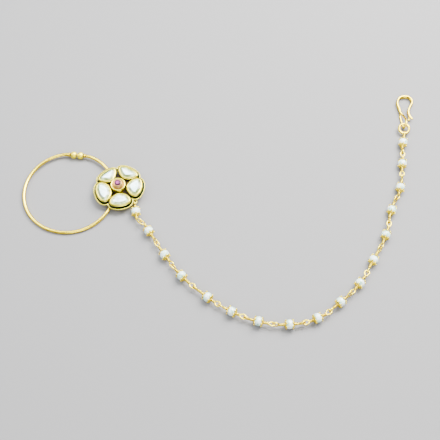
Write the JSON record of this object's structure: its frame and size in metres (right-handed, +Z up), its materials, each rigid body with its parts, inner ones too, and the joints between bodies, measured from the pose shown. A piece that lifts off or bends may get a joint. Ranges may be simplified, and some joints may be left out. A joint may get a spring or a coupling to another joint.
{
  "type": "nose ring with pearl chain",
  "caption": "Gold wire hoop with a five-petalled flower of flat white stones round a pink one, and a chain of capped pearls that ends in a hair hook",
  "frame": {"origin": "on the surface, under the middle of the whole", "axes": "+Z up from the surface, +X from the hoop towards the hook, +Y from the viewer towards the closure"},
  "size_m": [0.1802, 0.1192, 0.0075],
  "materials": {
    "gold": "polished gold plate",
    "enamel": "glossy opaque enamel",
    "white_stone": "polished, foiled behind",
    "pink_stone": "polished, foiled behind",
    "pearl": "soft pearl lustre"
  },
  "bodies": {
    "root": {"hoop_and_setting": "gold", "closure_bead_1": "gold", "closure_bead_2": "gold", "enamel_band": "enamel", "enamel_heart": "enamel", "petal_stone_1": "white_stone", "petal_stone_2": "white_stone", "petal_stone_3": "white_stone", "petal_stone_4": "white_stone", "petal_stone_5": "white_stone", "centre_stone": "pink_stone", "pearl_01": "pearl", "pearl_02": "pearl", "pearl_03": "pearl", "pearl_04": "pearl", "pearl_05": "pearl", "pearl_06": "pearl", "pearl_07": "pearl", "pearl_08": "pearl", "pearl_09": "pearl", "pearl_10": "pearl", "pearl_11": "pearl", "pearl_12": "pearl", "pearl_13": "pearl", "pearl_14": "pearl", "pearl_15": "pearl", "pearl_16": "pearl", "pearl_17": "pearl", "pearl_pin_01": "gold", "pearl_pin_02": "gold", "pearl_pin_03": "gold", "pearl_pin_04": "gold", "pearl_pin_05": "gold", "pearl_pin_06": "gold", "pearl_pin_07": "gold", "pearl_pin_08": "gold", "pearl_pin_09": "gold", "pearl_pin_10": "gold", "pearl_pin_11": "gold", "pearl_pin_12": "gold", "pearl_pin_13": "gold", "pearl_pin_14": "gold", "pearl_pin_15": "gold", "pearl_pin_16": "gold", "pearl_pin_17": "gold", "jump_ring": "gold", "hair_hook": "gold"}
  },
  "joints": []
}
